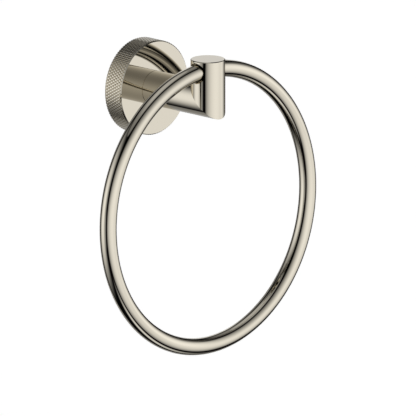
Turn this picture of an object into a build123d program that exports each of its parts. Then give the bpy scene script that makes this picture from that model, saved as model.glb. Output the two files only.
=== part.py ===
from build123d import *
from math import cos, pi, radians, sin, sqrt, tan
import os

# Towel ring of polished nickel-plated brass: a knurled flange on the wall, an arm that turns up
# into a short post, and a closed ring that hangs loose in a bore across the post.
# Millimetres. The wall is the plane Y = 0, +Z is up and +X is to the right of someone who faces
# the wall. The origin is the centre of the flange's back, on the arm's axis.

# Arm and post
bar_diameter = 20.0
post_reach = 56.0          # wall to the post's axis
post_height = 24.0         # arm's axis to the post's flat top
edge_break = 0.4           # round the post's top
seam_break = 0.2           # round the arm's end, where it meets the flange

# Ring
ring_bar = 9.8
ring_inside = 152.0

# Bore that the ring swings in
bore_clearance = 0.85      # all round the bar, at the mouths of the bore
metal_over_bore = 1.35     # from the bore up to the post's top
mouth_break = 0.35

# Flange, measured over the flat tops of its knurl
flange_diameter = 55.0
flange_depth = 12.8
flange_chamfer = 0.65
front_wall = 3.5
rim_wall = 4.5

# Diamond knurl round the flange
knurl_pitch = 1.76         # from diamond to diamond round the rim
knurl_angle = 30.0         # of each hand of grooves to the flange's axis
knurl_depth = 0.4          # flat top of a diamond down to the grooves
knurl_flat = 0.6           # width of the flat top, as a share of the diamond's

# Wall plate
plate_thickness = 5.5
plate_clearance = 0.25     # round the plate's front edge, inside the flange
undercut_angle = 30.0
wall_screw_inset = 7.75    # plate's front edge to a screw's axis
wall_screw_hole = 5.0
wall_screw_head = 10.0
head_room = 1.5            # between the arm screw's head and the floor of its pocket
head_room_round = 3.0      # round the head, in its pocket

# Arm screw, M6 by 16 with a low head, and its washer
screw_diameter = 6.0
screw_length = 16.0
screw_head_diameter = 10.0
screw_head_height = 4.0
screw_socket = 4.0
screw_socket_depth = 2.3
screw_hole = 6.5
tapping_run_out = 2.0
washer_diameter = 12.0
washer_hole = 6.4
washer_thickness = 1.6

# Locating pin between flange and arm, 3 by 6
pin_diameter = 3.0
pin_length = 6.0
pin_offset = 6.5

# Grub screw, M4 by 5 with a cone point
grub_diameter = 4.0
grub_length = 5.0
grub_socket = 2.0
grub_socket_depth = 2.0
grub_from_wall = 3.2
point_clearance = 0.2      # cone point to the plate's undercut edge

fit_clearance = 0.05       # radial, round the pin and the threads

# Places that follow from the sizes above
bar_radius = bar_diameter / 2
bore_radius = ring_bar / 2 + bore_clearance
bore_height = post_height - metal_over_bore - bore_radius
ring_radius = (ring_inside + ring_bar) / 2
ring_sag = ring_radius - sqrt(ring_radius**2 - bar_radius**2)
crown_height = bore_height + ring_sag    # so that the bar is centred in both mouths
ring_centre_height = crown_height - ring_radius
flange_radius = flange_diameter / 2
stock_radius = flange_radius + knurl_depth  # clear of the knurled bar, which gives the rim
recess_depth = flange_depth - front_wall
recess_radius = flange_radius - rim_wall
plate_radius = recess_radius - plate_clearance
washer_face = recess_depth - washer_thickness
screw_head_end = washer_face - screw_head_height
pocket_floor = screw_head_end - head_room
screw_in_arm = screw_length - washer_thickness - front_wall
wall_screw_spacing = 2 * (plate_radius - wall_screw_inset)

wall = Plane.XZ            # its offset is a distance from the wall

# The knurl's diamonds stand in columns round the rim, each row half a step round from the last.
knurl_columns = round(2 * pi * flange_radius / knurl_pitch)
half_step = pi / knurl_columns
row_height = flange_radius * half_step / tan(radians(knurl_angle))
knurl_rows = int(flange_depth / row_height) + 1
groove_radius = flange_radius - knurl_depth
peak_radius = groove_radius + knurl_depth / (1 - knurl_flat)    # where a diamond's slopes would meet


def undercut_radius(distance_from_wall):
    """Radius of the plate's edge, which narrows from its front towards the wall."""
    behind_front = plate_thickness - distance_from_wall
    return plate_radius - behind_front * tan(radians(undercut_angle))


grub_tip = undercut_radius(grub_from_wall) + point_clearance
grub_end = grub_tip + grub_length


def knurl_point(row, step, radius):
    """A point on the knurl's grid. Diamonds stand where row and step add up to an even number."""
    angle = step * half_step
    return Vector(radius * cos(angle), -row * row_height, radius * sin(angle))


def flat_corner(row, step, crossing):
    """Corner of a diamond's flat top, on the slope from its peak down to a crossing of grooves."""
    peak = knurl_point(row, step, peak_radius)
    slope = knurl_point(*crossing, groove_radius) - peak
    fall = -slope.dot(knurl_point(0, step, 1))
    return peak + slope * ((peak_radius - flange_radius) / fall)


def diamond(row, step):
    """The flat top of one diamond, and the faces that slope from it to the crossings round it."""
    around = [(row, step - 1), (row + 1, step), (row, step + 1), (row - 1, step)]
    crossings = [crossing for crossing in around if 0 <= crossing[0] <= knurl_rows]
    yield Face(Wire.make_polygon([flat_corner(row, step, crossing) for crossing in crossings]))
    for first, second in zip(around, around[1:] + around[:1]):
        if first in crossings and second in crossings:
            corners = [
                flat_corner(row, step, first),
                knurl_point(*first, groove_radius),
                knurl_point(*second, groove_radius),
                flat_corner(row, step, second),
            ]
            yield Face(Wire.make_polygon(corners))


def knurled_end(row):
    """The toothed flat end of the knurled bar."""
    outline = []
    for step in range(row % 2, 2 * knurl_columns, 2):
        outline.append(flat_corner(row, step, (row, step - 1)))
        outline.append(flat_corner(row, step, (row, step + 1)))
        outline.append(knurl_point(row, step + 1, groove_radius))
    return Face(Wire.make_polygon(outline))


# Knurled bar that the flange is turned from: left and right hand grooves cross and leave diamonds.
knurl_faces = [
    face
    for row in range(knurl_rows + 1)
    for step in range(row % 2, 2 * knurl_columns, 2)
    for face in diamond(row, step)
]
knurled_bar = Solid(Shell(knurl_faces + [knurled_end(0), knurled_end(knurl_rows)]))


# Arm and post: one bar with a square mitred corner, drilled across near the top of the post.
with BuildPart() as arm_and_post:
    with BuildLine() as centre_line:
        Polyline(
            (0, -flange_depth, 0),
            (0, -post_reach, 0),
            (0, -post_reach, post_height),
        )
    with BuildSketch(wall.offset(flange_depth)):
        Circle(bar_radius)
    sweep(path=centre_line.line, transition=Transition.RIGHT)
    end_edges = arm_and_post.edges().filter_by(GeomType.CIRCLE)
    chamfer(end_edges.sort_by(Axis.Z)[-1], edge_break)
    chamfer(end_edges.sort_by(Axis.Y)[-1], seam_break)
    with Locations(Plane(origin=(0, -post_reach, bore_height), z_dir=(1, 0, 0))):
        Hole(bore_radius)
    mouths = arm_and_post.edges(Select.LAST)
    chamfer(mouths, mouth_break)
    # Tapped hole and pin hole in the end that meets the flange
    with BuildSketch(wall.offset(flange_depth)):
        Circle(screw_diameter / 2 + fit_clearance)
    extrude(amount=screw_in_arm + tapping_run_out, mode=Mode.SUBTRACT)
    with BuildSketch(wall.offset(flange_depth)):
        with Locations((0, pin_offset)):
            Circle(pin_diameter / 2 + fit_clearance)
    extrude(amount=pin_length / 2 + fit_clearance, mode=Mode.SUBTRACT)

# Ring: round bar bent to a closed circle, through the bore at its crown.
with BuildPart() as ring:
    with BuildSketch(Plane(origin=(0, -post_reach, crown_height), x_dir=(0, 1, 0), z_dir=(1, 0, 0))):
        Circle(ring_bar / 2)
    revolve(axis=Axis((0, -post_reach, ring_centre_height), (0, 1, 0)))

# Flange: a turned cup, open to the wall, with holes for the arm screw, the pin and the grub screw.
with BuildPart() as flange:
    with BuildSketch(Plane.XY):
        with BuildLine():
            Polyline(
                (recess_radius, 0),
                (stock_radius, 0),
                (stock_radius, knurl_depth + flange_chamfer - flange_depth),
                (flange_radius - flange_chamfer, -flange_depth),
                (0, -flange_depth),
                (0, -recess_depth),
                (recess_radius, -recess_depth),
                close=True,
            )
        make_face()
    revolve(axis=Axis.Y)
    with BuildSketch(wall.offset(recess_depth)):
        Circle(screw_hole / 2)
        with Locations((0, pin_offset)):
            Circle(pin_diameter / 2 + fit_clearance)
    extrude(amount=front_wall, mode=Mode.SUBTRACT)
    with BuildSketch(Plane.XY.offset(-stock_radius)):
        with Locations((0, -grub_from_wall)):
            Circle(grub_diameter / 2 + fit_clearance)
    extrude(amount=stock_radius - plate_radius, mode=Mode.SUBTRACT)
    add(knurled_bar, mode=Mode.INTERSECT)

# Wall plate: a disc with an undercut edge, two countersunk holes and a pocket for the screw head.
with BuildPart() as wall_plate:
    with BuildSketch(Plane.XY):
        with BuildLine():
            Polyline(
                (0, 0),
                (undercut_radius(0), 0),
                (plate_radius, -plate_thickness),
                (0, -plate_thickness),
                close=True,
            )
        make_face()
    revolve(axis=Axis.Y)
    with Locations(wall.offset(plate_thickness)):
        with GridLocations(wall_screw_spacing, 0, 2, 1):
            CounterSinkHole(wall_screw_hole / 2, wall_screw_head / 2)
    with BuildSketch(wall.offset(plate_thickness)):
        Circle(screw_head_diameter / 2 + head_room_round)
    extrude(amount=pocket_floor - plate_thickness, mode=Mode.SUBTRACT)

# Washer between the flange's front wall and the head of the arm screw.
with BuildPart() as arm_washer:
    with BuildSketch(wall.offset(washer_face)):
        Circle(washer_diameter / 2)
        Circle(washer_hole / 2, mode=Mode.SUBTRACT)
    extrude(amount=washer_thickness)

# Arm screw: low cap head with a hexagon socket, from inside the flange into the arm.
with BuildPart() as arm_screw:
    with BuildSketch(wall.offset(washer_face)):
        Circle(screw_diameter / 2)
    extrude(amount=screw_length)
    with BuildSketch(wall.offset(washer_face)):
        Circle(screw_head_diameter / 2)
    extrude(amount=-screw_head_height)
    head_edge = arm_screw.edges().sort_by(Axis.Y)[-1]
    chamfer(head_edge, edge_break)
    with BuildSketch(wall.offset(screw_head_end)):
        RegularPolygon(screw_socket / 2, 6, major_radius=False)
    extrude(amount=screw_socket_depth, mode=Mode.SUBTRACT)

# Locating pin: half of it in the flange's wall and half in the arm.
with BuildPart() as locating_pin:
    with BuildSketch(wall.offset(flange_depth - pin_length / 2)):
        with Locations((0, pin_offset)):
            Circle(pin_diameter / 2)
    extrude(amount=pin_length)
    chamfer(locating_pin.edges().filter_by(GeomType.CIRCLE), edge_break)

# Grub screw: from the underside of the rim, with its cone point against the plate's undercut.
with BuildPart() as grub_screw:
    with BuildSketch(wall.offset(grub_from_wall)):
        with BuildLine():
            Polyline(
                (0, -grub_end),
                (grub_diameter / 2, -grub_end),
                (grub_diameter / 2, -grub_tip - grub_diameter / 2),
                (0, -grub_tip),
                close=True,
            )
        make_face()
    revolve(axis=Axis((0, -grub_from_wall, 0), (0, 0, 1)))
    with BuildSketch(Plane.XY.offset(-grub_end)):
        with Locations((0, -grub_from_wall)):
            RegularPolygon(grub_socket / 2, 6, major_radius=False)
    extrude(amount=grub_socket_depth, mode=Mode.SUBTRACT)

pieces = {
    "flange": flange,
    "wall_plate": wall_plate,
    "arm_and_post": arm_and_post,
    "ring": ring,
    "arm_screw": arm_screw,
    "arm_washer": arm_washer,
    "locating_pin": locating_pin,
    "grub_screw": grub_screw,
}

os.makedirs("parts", exist_ok=True)
for label, piece in pieces.items():
    piece.part.label = label
    export_step(piece.part, f"parts/{label}.step")
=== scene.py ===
from math import cos, pi, radians, sin, tan
import bmesh
import bpy
from mathutils import Matrix, Vector


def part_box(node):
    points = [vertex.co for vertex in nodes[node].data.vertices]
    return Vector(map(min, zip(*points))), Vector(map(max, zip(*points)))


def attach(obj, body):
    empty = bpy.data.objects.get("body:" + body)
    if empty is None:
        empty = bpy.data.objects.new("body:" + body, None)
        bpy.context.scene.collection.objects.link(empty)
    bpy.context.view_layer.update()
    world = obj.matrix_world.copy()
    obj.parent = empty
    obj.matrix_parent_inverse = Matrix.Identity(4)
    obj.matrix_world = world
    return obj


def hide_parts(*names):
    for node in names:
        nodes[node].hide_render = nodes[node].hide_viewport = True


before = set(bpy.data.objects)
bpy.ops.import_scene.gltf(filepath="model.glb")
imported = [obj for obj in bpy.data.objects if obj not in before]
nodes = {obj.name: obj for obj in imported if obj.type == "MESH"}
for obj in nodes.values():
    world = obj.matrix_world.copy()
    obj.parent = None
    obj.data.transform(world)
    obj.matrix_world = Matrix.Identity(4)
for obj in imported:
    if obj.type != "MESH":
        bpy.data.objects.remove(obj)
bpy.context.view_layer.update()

# Wall plate: a thick steel disc, turned and zinc plated, that two screws hold to the wall. Only its
# back shows once the flange is on, and the turning tool has left fine rings on it.
plate_colour = (0.50, 0.50, 0.48, 1)
turning_pitch = 0.0004
turning_depth = 0.000004
turning_wobble = 1.5


def new_material(name, colour, metallic):
    """A new material, with its nodes, its links and the shader that they feed."""
    material = bpy.data.materials.new(name)
    material.use_nodes = True
    tree = material.node_tree
    shader = tree.nodes["Principled BSDF"]
    shader.inputs["Base Color"].default_value = colour
    shader.inputs["Metallic"].default_value = metallic
    return material, tree, shader


def uneven_gloss(tree, shader, grain, smoothest, roughest):
    """Lets the roughness drift between two values in patches about as wide as the grain.

    The noise seldom leaves its middle range, so that range is spread over the two values.
    """
    patch_detail = 4
    lowest_noise = 0.3
    highest_noise = 0.7
    place = tree.nodes.new("ShaderNodeTexCoord")
    patches = tree.nodes.new("ShaderNodeTexNoise")
    patches.inputs["Scale"].default_value = 1 / grain
    patches.inputs["Detail"].default_value = patch_detail
    gloss = tree.nodes.new("ShaderNodeMapRange")
    gloss.inputs["From Min"].default_value = lowest_noise
    gloss.inputs["From Max"].default_value = highest_noise
    gloss.inputs["To Min"].default_value = smoothest
    gloss.inputs["To Max"].default_value = roughest
    tree.links.new(place.outputs["Object"], patches.inputs["Vector"])
    tree.links.new(patches.outputs["Fac"], gloss.inputs["Value"])
    tree.links.new(gloss.outputs["Result"], shader.inputs["Roughness"])
    return patches


def surface_relief(tree, shader, height, depth):
    """Bump of a given depth in metres, from a height between 0 and 1."""
    bump = tree.nodes.new("ShaderNodeBump")
    bump.inputs["Strength"].default_value = 1
    bump.inputs["Distance"].default_value = depth
    tree.links.new(height, bump.inputs["Height"])
    tree.links.new(bump.outputs["Normal"], shader.inputs["Normal"])


def finish(node_name, material):
    """Gives a CAD piece its material."""
    nodes[node_name].material_slots[0].material = material


plate_zinc, tree, shader = new_material("plate_zinc", plate_colour, 1)
uneven_gloss(tree, shader, grain=0.006, smoothest=0.28, roughest=0.42)
place = tree.nodes.new("ShaderNodeTexCoord")
turning = tree.nodes.new("ShaderNodeTexWave")
turning.wave_type = "RINGS"
turning.rings_direction = "Y"
turning.inputs["Scale"].default_value = pi / (10 * turning_pitch)    # at 1 it repeats every pi / 10
turning.inputs["Distortion"].default_value = turning_wobble
tree.links.new(place.outputs["Object"], turning.inputs["Vector"])
surface_relief(tree, shader, turning.outputs["Fac"], turning_depth)
finish("wall_plate", plate_zinc)

# Flange: a cup turned from brass bar, its rim knurled with crossed diamonds and its face buffed flat,
# then plated with nickel. A grub screw in the rim draws it onto the wall plate.
nickel_colour = (0.66, 0.615, 0.52, 1)
nickel_at_its_edges = (0.8, 0.8, 0.8, 1)
buffing_grain = 0.012
buffing_depth = 0.000002


def polished_nickel(name, smoothest, roughest):
    """Nickel plate buffed to a mirror, with the faint unevenness that buffing leaves."""
    material, tree, shader = new_material(name, nickel_colour, 1)
    shader.inputs["Specular Tint"].default_value = nickel_at_its_edges
    patches = uneven_gloss(tree, shader, buffing_grain, smoothest, roughest)
    surface_relief(tree, shader, patches.outputs["Fac"], buffing_depth)
    return material


finish("flange", polished_nickel("flange_nickel", smoothest=0.01, roughest=0.04))

# Arm and post: one round brass bar, mitred square at its corner and brazed, with the post cross
# drilled for the ring. It is polished and plated after the joint has been dressed.
finish("arm_and_post", polished_nickel("arm_nickel", smoothest=0.01, roughest=0.03))

# Ring: round brass bar rolled to a circle through the post, its ends brazed and dressed until the
# joint is gone, then polished and plated. It hangs loose, and swings about the bore.
ring_low, ring_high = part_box("ring")
ring_bar = ring_high[1] - ring_low[1]
ring_centre = Vector((
    (ring_low[0] + ring_high[0]) / 2,
    (ring_low[1] + ring_high[1]) / 2,
    (ring_low[2] + ring_high[2]) / 2,
))
ring_radius = (ring_high[0] - ring_low[0] - ring_bar) / 2
steps_round_ring = 256
steps_round_bar = 48
merge_distance = 0.000001

work = bmesh.new()
crown = ring_centre + Vector((0, 0, ring_radius))
bmesh.ops.create_circle(
    work,
    segments=steps_round_bar,
    radius=ring_bar / 2,
    matrix=Matrix.Translation(crown) @ Matrix.Rotation(pi / 2, 4, "Y"),
)
bmesh.ops.spin(
    work,
    geom=work.verts[:] + work.edges[:],
    cent=ring_centre,
    axis=Vector((0, 1, 0)),
    angle=2 * pi,
    steps=steps_round_ring,
    use_merge=True,
)
bmesh.ops.remove_doubles(work, verts=work.verts, dist=merge_distance)
bmesh.ops.recalc_face_normals(work, faces=work.faces)
for face in work.faces:
    face.smooth = True
ring_mesh = bpy.data.meshes.new("ring_bar")
work.to_mesh(ring_mesh)
work.free()
ring_mesh.materials.append(polished_nickel("ring_nickel", smoothest=0.01, roughest=0.03))
ring_piece = bpy.data.objects.new("ring_bar", ring_mesh)
bpy.context.scene.collection.objects.link(ring_piece)
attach(ring_piece, "ring")
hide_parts("ring")

# Screws, washer and pin: hardened steel with a dull zinc finish. The grub screw is in the underside
# of the rim and the others are inside the flange, so none of them shows from the front.
fastener_colour = (0.42, 0.42, 0.41, 1)
fastener_relief = 0.00001
fastener_zinc, tree, shader = new_material("fastener_zinc", fastener_colour, 1)
patches = uneven_gloss(tree, shader, grain=0.002, smoothest=0.3, roughest=0.5)
surface_relief(tree, shader, patches.outputs["Fac"], fastener_relief)
for node_name in ("arm_screw", "arm_washer", "locating_pin", "grub_screw"):
    finish(node_name, fastener_zinc)

# Camera: in parallel projection, from the left and a little above. Its scale, its direction and the
# object's place in the picture were fitted to the outlines in the photo.
picture_width = 416
pixels_per_metre = 1744.7
origin_in_picture = (138.82, 84.225)
view_azimuth = radians(-45)
view_elevation = radians(12.89)
camera_distance = 1
camera_data = bpy.data.cameras.new("camera")
camera_data.type = "ORTHO"
camera_data.ortho_scale = picture_width / pixels_per_metre
camera = bpy.data.objects.new("camera", camera_data)
bpy.context.scene.collection.objects.link(camera)
towards_camera = Vector((
    sin(view_azimuth) * cos(view_elevation),
    -cos(view_azimuth) * cos(view_elevation),
    sin(view_elevation),
))
camera_right = Vector((cos(view_azimuth), sin(view_azimuth), 0))
camera_up = towards_camera.cross(camera_right)
middle_right = (picture_width / 2 - origin_in_picture[0]) / pixels_per_metre
middle_up = (origin_in_picture[1] - picture_width / 2) / pixels_per_metre
picture_middle = middle_right * camera_right + middle_up * camera_up
camera.location = picture_middle + camera_distance * towards_camera
camera.rotation_euler = towards_camera.to_track_quat("Z", "Y").to_euler()
bpy.context.scene.camera = camera

# Floor: a plain pale sheet well below the ring, which takes its shadow. It glows for the camera alone,
# so that it is as white as the ground, and the polished metal doesn't mirror it.
floor_height = -0.22
floor_reach = 3
floor_colour = (0.85, 0.85, 0.85, 1)
floor_glow = 0.735
work = bmesh.new()
bmesh.ops.create_grid(
    work,
    x_segments=1,
    y_segments=1,
    size=floor_reach,
    matrix=Matrix.Translation((0, 0, floor_height)),
)
floor_mesh = bpy.data.meshes.new("floor")
work.to_mesh(floor_mesh)
work.free()
pale_floor = bpy.data.materials.new("pale_floor")
pale_floor.use_nodes = True
tree = pale_floor.node_tree
tree.nodes.clear()
matt = tree.nodes.new("ShaderNodeBsdfDiffuse")
matt.inputs["Color"].default_value = floor_colour
glow = tree.nodes.new("ShaderNodeEmission")
whitened = tree.nodes.new("ShaderNodeMath")
whitened.operation = "MULTIPLY"
whitened.inputs[1].default_value = floor_glow
both = tree.nodes.new("ShaderNodeAddShader")
floor_output = tree.nodes.new("ShaderNodeOutputMaterial")
tree.links.new(tree.nodes.new("ShaderNodeLightPath").outputs["Is Camera Ray"], whitened.inputs[0])
tree.links.new(whitened.outputs[0], glow.inputs["Strength"])
tree.links.new(matt.outputs["BSDF"], both.inputs[0])
tree.links.new(glow.outputs["Emission"], both.inputs[1])
tree.links.new(both.outputs["Shader"], floor_output.inputs["Surface"])
floor_mesh.materials.append(pale_floor)
floor = bpy.data.objects.new("floor", floor_mesh)
bpy.context.scene.collection.objects.link(floor)
floor.visible_glossy = False

# Room: a dark studio with large soft boxes of light, which the polished metal mirrors. The camera
# sees a plain white ground instead. Most of the boxes' values come from a program that fitted them
# to the photo, and the others were set one by one. They aren't measured from a real studio.
white = (1, 1, 1, 1)
light_between_boxes = 0.002
room = bpy.data.worlds.new("room")
bpy.context.scene.world = room
room.use_nodes = True
tree = room.node_tree
tree.nodes.clear()
looking = tree.nodes.new("ShaderNodeTexCoord").outputs["Generated"]


def combine(operation, *terms):
    """Output of a maths node on up to three terms, each a number or another node's output."""
    node = tree.nodes.new("ShaderNodeMath")
    node.operation = operation
    for socket, term in zip(node.inputs, terms):
        if isinstance(term, (int, float)):
            socket.default_value = term
        else:
            tree.links.new(term, socket)
    return node.outputs[0]


def along(axis):
    """How far the direction looked in goes along an axis."""
    node = tree.nodes.new("ShaderNodeVectorMath")
    node.operation = "DOT_PRODUCT"
    node.inputs[1].default_value = axis
    tree.links.new(looking, node.inputs[0])
    return node.outputs["Value"]


def soft_box(azimuth, elevation, half_width, half_height, squareness, edge, dimming, level):
    """Light of a soft box that faces the object.

    Its middle is at an azimuth and elevation seen from the object, and its half sizes are angles
    too, in degrees. Squareness 2 is an oval and more is nearer to a rectangle. The edge is the part
    of the half size over which the light fades out, and dimming the part lost from middle to edge.
    """
    nearly_nothing = 0.001    # so that nothing is divided by nought straight behind the box
    turn = radians(azimuth)
    rise = radians(elevation)
    middle = Vector((sin(turn) * cos(rise), -cos(turn) * cos(rise), sin(rise)))
    sideways = Vector((cos(turn), sin(turn), 0))
    upwards = middle.cross(sideways)
    flatten = combine("DIVIDE", 1, combine("MAXIMUM", combine("ADD", along(middle), 1), nearly_nothing))
    across = combine("MULTIPLY", combine("ABSOLUTE", along(sideways)), flatten)
    above = combine("MULTIPLY", combine("ABSOLUTE", along(upwards)), flatten)
    across = combine("POWER", combine("DIVIDE", across, tan(radians(half_width) / 2)), squareness)
    above = combine("POWER", combine("DIVIDE", above, tan(radians(half_height) / 2)), squareness)
    outwards = combine("POWER", combine("ADD", across, above), 1 / squareness)
    fade = tree.nodes.new("ShaderNodeMapRange")
    fade.interpolation_type = "SMOOTHSTEP"
    fade.inputs["From Min"].default_value = 1 + edge
    fade.inputs["From Max"].default_value = 1 - edge
    tree.links.new(outwards, fade.inputs["Value"])
    falling = combine("POWER", combine("MINIMUM", outwards, 1), 2)
    brightness = combine("MULTIPLY_ADD", falling, -dimming * level, level)
    return combine("MULTIPLY", fade.outputs["Result"], brightness)


main_box = soft_box(
    azimuth=11.7, elevation=2, half_width=73, half_height=58,
    squareness=2.05, edge=0.05, dimming=0.85, level=1.24,
)
shade = soft_box(
    azimuth=-15, elevation=50, half_width=44, half_height=32,
    squareness=2, edge=0.9, dimming=0, level=0.52,
)
soft_boxes = [
    # The main one, a wide oval from behind the camera round to its right, its upper part shaded
    combine("MULTIPLY", main_box, combine("SUBTRACT", 1, shade)),
    # A tall window to the left
    soft_box(
        azimuth=-123.3, elevation=0, half_width=26.4, half_height=33,
        squareness=3.5, edge=0.86, dimming=0, level=1.21,
    ),
    # A small grey panel between that window and the main box
    soft_box(
        azimuth=-84, elevation=-13, half_width=6, half_height=11,
        squareness=3, edge=0.35, dimming=0, level=0.2,
    ),
    # A fill across the right edge of the main one
    soft_box(
        azimuth=71.8, elevation=7, half_width=29, half_height=33.3,
        squareness=2.5, edge=0.4, dimming=0.73, level=0.49,
    ),
    # A small bright window behind, which lights the post's flat top
    soft_box(
        azimuth=135, elevation=11, half_width=11, half_height=13,
        squareness=4, edge=0.3, dimming=0, level=1,
    ),
    # A dull screen behind, to the left of that window
    soft_box(
        azimuth=159.8, elevation=-2, half_width=17.9, half_height=35,
        squareness=8, edge=0.23, dimming=0, level=0.34,
    ),
    # A reflector below that window
    soft_box(
        azimuth=125.6, elevation=-29, half_width=12.2, half_height=14.7,
        squareness=8, edge=0.9, dimming=0.3, level=0.56,
    ),
    # A grey panel low behind, which the arm's underside mirrors
    soft_box(
        azimuth=158, elevation=-41, half_width=19, half_height=13,
        squareness=4, edge=0.2, dimming=0.2, level=0.33,
    ),
    # Two panels on the ceiling
    soft_box(
        azimuth=126.4, elevation=72.2, half_width=20.3, half_height=33.7,
        squareness=1.8, edge=0.42, dimming=0, level=0.27,
    ),
    soft_box(
        azimuth=-152.7, elevation=79.2, half_width=34.6, half_height=25.5,
        squareness=1.8, edge=0.04, dimming=0.48, level=0.36,
    ),
    # A long reflector on the floor
    soft_box(
        azimuth=21.9, elevation=-81.2, half_width=30, half_height=8.2,
        squareness=2.6, edge=0.68, dimming=0.13, level=1,
    ),
]
light = light_between_boxes
for box in soft_boxes:
    light = combine("ADD", light, box)
mirrored = tree.nodes.new("ShaderNodeBackground")
mirrored.inputs["Color"].default_value = white
tree.links.new(light, mirrored.inputs["Strength"])
ground = tree.nodes.new("ShaderNodeBackground")
ground.inputs["Color"].default_value = white
path = tree.nodes.new("ShaderNodeLightPath")
choice = tree.nodes.new("ShaderNodeMixShader")
seen = combine("MAXIMUM", path.outputs["Is Camera Ray"], path.outputs["Is Transmission Ray"])
tree.links.new(seen, choice.inputs["Fac"])
tree.links.new(mirrored.outputs["Background"], choice.inputs[1])
tree.links.new(ground.outputs["Background"], choice.inputs[2])
world_output = tree.nodes.new("ShaderNodeOutputWorld")
tree.links.new(choice.outputs["Shader"], world_output.inputs["Surface"])

bpy.context.scene.view_settings.view_transform = "Standard"
